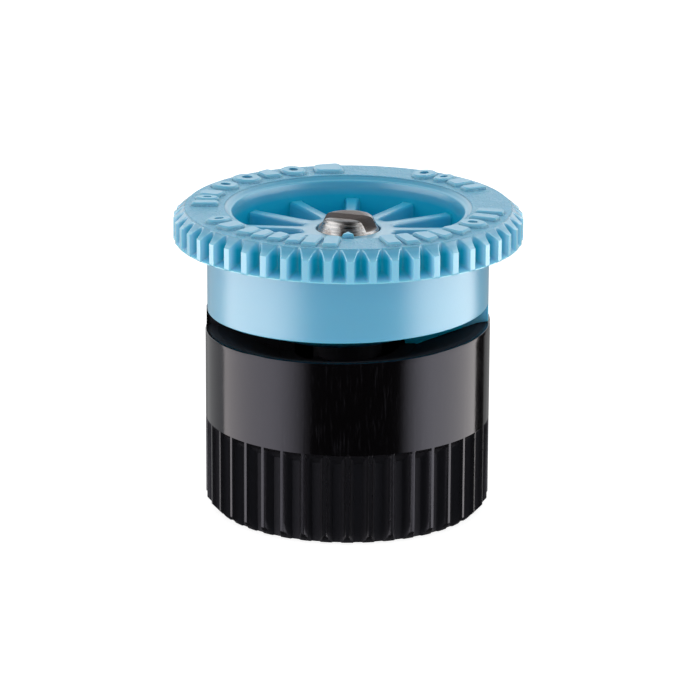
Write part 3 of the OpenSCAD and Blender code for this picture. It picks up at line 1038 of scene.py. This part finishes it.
# Angle round the rim, length along the radius, width and kind
MARK_LIST = [
    (256, 2.7, 1.25, BAR), (263.5, 2.7, 1.25, BAR), (286.5, 2.7, 1.25, BAR), (293.5, 2.6, 1.2, BAR),
    (180, 2.2, 1.0, BAR), (340, 2.3, 1.1, BAR), (349, 2.3, 1.1, BAR), (28, 2.0, 1.0, BAR),
    (249.5, 2.5, 1.2, BLOCK), (242, 2.3, 1.2, BLOCK), (235, 2.4, 1.1, BLOCK), (228, 2.3, 1.2, BLOCK),
    (217, 2.4, 1.5, BLOCK), (302, 2.6, 1.3, BLOCK), (309, 2.5, 1.2, BLOCK), (318, 2.4, 1.6, BLOCK),
    (98.5, 2.7, 2.4, BLOCK), (125, 2.3, 1.4, BLOCK), (38, 2.2, 1.7, BLOCK), (165, 2.3, 1.4, BLOCK),
    (329, 2.4, 1.9, RING), (57, 2.5, 2.0, RING), (47, 2.2, 1.4, RING), (113.5, 2.6, 2.1, RING),
    (136.5, 2.6, 2.3, RING), (151, 2.4, 2.0, RING), (172.5, 2.0, 1.3, RING), (207, 2.2, 1.4, RING)]
POINTER_MARK = (270, 9.3, 1.0, 0.95)


def mark_points():
    """Points that say where each mark goes, how it is turned, its size and its kind."""
    angle, mid, length, width = POINTER_MARK
    rows = [(MARK_MID_R, row[0], *row) for row in MARK_LIST]
    rows.append((mid, angle, angle + 180, length, width, POINTER))
    r, at, turned_by, long, wide, kind = zip(*rows)
    places = [(mid * math.cos(math.radians(angle)), mid * math.sin(math.radians(angle)), 0)
              for mid, angle in zip(r, at)]
    dots = mesh_object("mark_points", places)
    store(dots, "turn", [math.radians(angle) for angle in turned_by])
    store(dots, "long", long)
    store(dots, "wide", wide)
    store(dots, "kind", kind, "INT")
    return dots


collar_marks = run_tree(MARKS, mark_points(), "collar_marks", {
    "Height": MARK_H, "Sink": MARK_SINK, "Level": RIM_TOP, "Finish": BLUE_PLASTIC})
tidy_mesh(collar_marks, 25.0)

# %% [markdown]
# ## The radius screw
# The screw is one turned bar of stainless steel: a tall head with a sloping crown, a plain
# shank, a groove for the clip and a fine thread at the lower end. The slot is sawn right
# across the head. A bevel eases its edges, because a sawn edge is never knife sharp.

# %% Screw
HEAD_R = screw_high.x
SHANK_R = 1.5
SCREW_THREAD_ROOT_R = 1.27
STEM_TOP = core_high.z
CLIP_Z = box_mm("screw_clip")[0].z
CLIP_GROOVE_R = 1.1
CLIP_GROOVE_H = 0.52
SCREW_SIDES = 128


def turned(name, outline, sides):
    """A solid of revolution from points of radius and height. It starts and ends on the axis."""
    round_circle = [(math.cos(TURN * k / sides), math.sin(TURN * k / sides)) for k in range(sides)]
    points = [(0, 0, outline[0][1])]
    for r, z in outline[1:-1]:
        points += [(r * x, r * y, z) for x, y in round_circle]
    points.append((0, 0, outline[-1][1]))
    rows = len(outline) - 2
    faces = [(0, 1 + (k + 1) % sides, 1 + k) for k in range(sides)]
    for row in range(rows - 1):
        low = 1 + row * sides
        faces += [(low + k, low + (k + 1) % sides, low + sides + (k + 1) % sides, low + sides + k)
                  for k in range(sides)]
    last = 1 + (rows - 1) * sides
    faces += [(last + k, last + (k + 1) % sides, len(points) - 1) for k in range(sides)]
    return mesh_object(name, points, faces=faces)


# Radius and height over the hub of the head's side, from its foot to its flat top
HEAD_SIDE = [(HEAD_R, -0.15), (2.33, 0.03), (2.22, 0.3), (1.98, 0.78), (1.91, 0.88), (1.80, 0.96),
             (1.60, 1.02)]
# The inner of these two radii on the flat top keeps its shading even
HEAD_FLAT = (1.3, 0.8)
SAW_REACH = 4


def screw_outline():
    low = screw_low.z
    head = [(SHANK_R, STEM_TOP + 0.03), (HEAD_R, STEM_TOP + 0.03)]
    head += [(r, HUB_Z + over) for r, over in HEAD_SIDE]
    shank = [(0, low), (0.9, low), (SCREW_THREAD_ROOT_R, low + 0.25),
             (SCREW_THREAD_ROOT_R, CLIP_Z - 0.35), (SHANK_R, CLIP_Z - 0.2), (SHANK_R, CLIP_Z),
             (CLIP_GROOVE_R, CLIP_Z), (CLIP_GROOVE_R, CLIP_Z + CLIP_GROOVE_H),
             (SHANK_R, CLIP_Z + CLIP_GROOVE_H)]
    return shank + head + [(r, HEAD_TOP) for r in (*HEAD_FLAT, 0)]


screw = turned("screw", screw_outline(), SCREW_SIDES)
screw.data.materials.append(STAINLESS)
tidy_mesh(screw)
cut(screw, brick("saw", (-SAW_REACH, SLOT_OFFSET - SLOT_W / 2, SLOT_Z),
                 (SAW_REACH, SLOT_OFFSET + SLOT_W / 2, HEAD_TOP + SAW_REACH), SLOT_TURN))

# %% Eased edges and thread
def ease_edges(piece, width, angle=30.0):
    """Bevels the sharp edges and keeps the result."""
    modifier = piece.modifiers.new("ease", "BEVEL")
    modifier.width = width
    modifier.segments = 2
    modifier.limit_method = "ANGLE"
    modifier.angle_limit = math.radians(angle)
    piece.data = applied(piece)
    return piece


ease_edges(screw, 0.05)
screw_thread = thread("screw_thread", SCREW_THREAD_ROOT_R, SHANK_R - 0.01, 0.5, screw_low.z + 0.3,
                      CLIP_Z - 0.4, STAINLESS, 40)
radius_screw = tidy_mesh(join([screw, screw_thread], "slotted_screw"))

# %% [markdown]
# ## Finishes for the CAD pieces
# The core, the seals, the gasket, the clip and the plug keep their CAD shapes, which are
# already right, and get the finishes made above.

# %% CAD finishes
CAD_FINISHES = {
    "valve_core": BLACK_PLASTIC, "riser_gasket": SEAL_RUBBER, "screw_seal": SEAL_RUBBER,
    "collar_seal": SEAL_RUBBER, "screw_clip": STAINLESS, "throttle_plug": NATURAL_ACETAL}
for name, finish in CAD_FINISHES.items():
    nodes[name].data.materials.clear()
    nodes[name].data.materials.append(finish)
    print(name, "is finished in", finish.name)

# %% [markdown]
# ## Putting the pieces on their bodies
# Each visible piece replaces its CAD node and rides on the same body, so it follows the
# joints: the collar turns and climbs, and the screw turns.

# %% Riding
PIECES = [(base_shell, "base", "black_plastic", "nozzle_body"),
          (collar_ring, "collar", "blue_plastic", "arc_collar"),
          (collar_spokes, "collar", "blue_plastic", "arc_collar"),
          (collar_marks, "collar", "blue_plastic", "arc_collar"),
          (radius_screw, "screw", "stainless", "radius_screw")]
for piece, body, slot, node in PIECES:
    to_metres(piece)
    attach(piece, body)
    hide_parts(node)
    print(piece.name, "rides on", body)

# %% [markdown]
# ## The studio
# A pale floor runs out of sight under a pale sky, which gives even light from all round.
# Two large panels stand left and right, with smaller ones behind, and all are seen only in
# reflections. The large ones draw the two upright bands on the black plastic, and the dark
# between them is where nothing bright faces the nozzle. The floor is left out of
# reflections, so it doesn't grey the black.

# %% Floor
FLOOR_HALF = 4.0
FLOOR_DROP = 0.02
FLOOR_GLOW = 0.8
WHITE = (1.0, 1.0, 1.0)


def add_floor():
    corners = [(-1, -1), (1, -1), (1, 1), (-1, 1)]
    places = [(x * FLOOR_HALF, y * FLOOR_HALF, -FLOOR_DROP * MM) for x, y in corners]
    floor = mesh_object("floor", places, faces=[(0, 1, 2, 3)])
    finish = new_material(
        "pale floor", Roughness=0.9, Specular_IOR_Level=0.0, Base_Color=(0.5, 0.5, 0.5, 1.0),
        Emission_Color=(*WHITE, 1.0), Emission_Strength=FLOOR_GLOW)[0]
    floor.data.materials.append(finish)
    floor.visible_glossy = False
    floor.visible_shadow = False


add_floor()

# %% Panels
PANEL_DISTANCE = 0.5
SLATS = 9
STRIPS = 8


def add_panel(name, first, last, low, high, brightness, colour=WHITE):
    """An upright panel between two bearings and two heights, in degrees. Bearing 0 is the
    camera's side and right is positive. Diffuse light comes from the sky and the floor."""
    bearing = math.radians((first + last) / 2)
    wide = 2 * PANEL_DISTANCE * math.tan(math.radians(abs(last - first)) / 2)
    bottom, top = (PANEL_DISTANCE * math.tan(math.radians(tilt)) for tilt in (low, high))
    tall = top - bottom
    away = Vector((math.sin(bearing), -math.cos(bearing), 0.0))
    lamp = bpy.data.lights.new(name, "AREA")
    lamp.shape = "RECTANGLE"
    lamp.size, lamp.size_y = wide, tall
    lamp.energy = brightness * math.pi * wide * tall
    lamp.color = colour
    made = bpy.data.objects.new(name, lamp)
    made.location = away * PANEL_DISTANCE + AIM * MM + Vector((0, 0, (bottom + top) / 2))
    made.rotation_euler = (-away).to_track_quat("-Z", "Y").to_euler()
    made.visible_diffuse = False
    scene.collection.objects.link(made)


def add_faded_panel(name, dark_end, full_end, outer_end, low, high, brightness, colour):
    """A panel whose inner part brightens in slats, from dark_end to full_end. Its outer part
    is even, in narrow strips so that their edges meet."""
    slat = (full_end - dark_end) / SLATS
    for number in range(SLATS):
        first = dark_end + slat * number
        share = math.sin(math.pi / 2 * (number + 0.5) / SLATS)
        add_panel(f"{name}_slat_{number}", first, first + slat, low, high, brightness * share,
                  colour)
    strip = (outer_end - full_end) / STRIPS
    for number in range(STRIPS):
        first = full_end + strip * number
        add_panel(f"{name}_strip_{number}", first, first + strip, low, high, brightness, colour)


LOW_TILT = -30
HIGH_TILT = 52
add_faded_panel("left_panel", -30, -68, -118, LOW_TILT, HIGH_TILT, 2.5, (1.0, 0.92, 0.86))
add_faded_panel("right_panel", 43, 74, 126, LOW_TILT, HIGH_TILT, 2.85, (0.95, 0.89, 0.83))
add_panel("left_back_panel", -158, -118, LOW_TILT, 3, 0.5)
add_panel("back_panel", 140, 220, 4, 50, 1.3)
add_panel("low_back_panel", 145, 202, LOW_TILT, 3, 0.3)

# %% World
SKY = 0.85


def add_world():
    world = bpy.data.worlds.new("studio")
    scene.world = world
    world.use_nodes = True
    world.cycles_visibility.glossy = False
    tree = world.node_tree
    back = tree.nodes["Background"]
    seen = Wire(add(tree, "ShaderNodeLightPath").outputs["Is Camera Ray"])
    feed(back.inputs["Strength"], larger(seen, SKY))
    back.inputs["Color"].default_value = (*WHITE, 1.0)


add_world()
scene.view_settings.view_transform = "Standard"
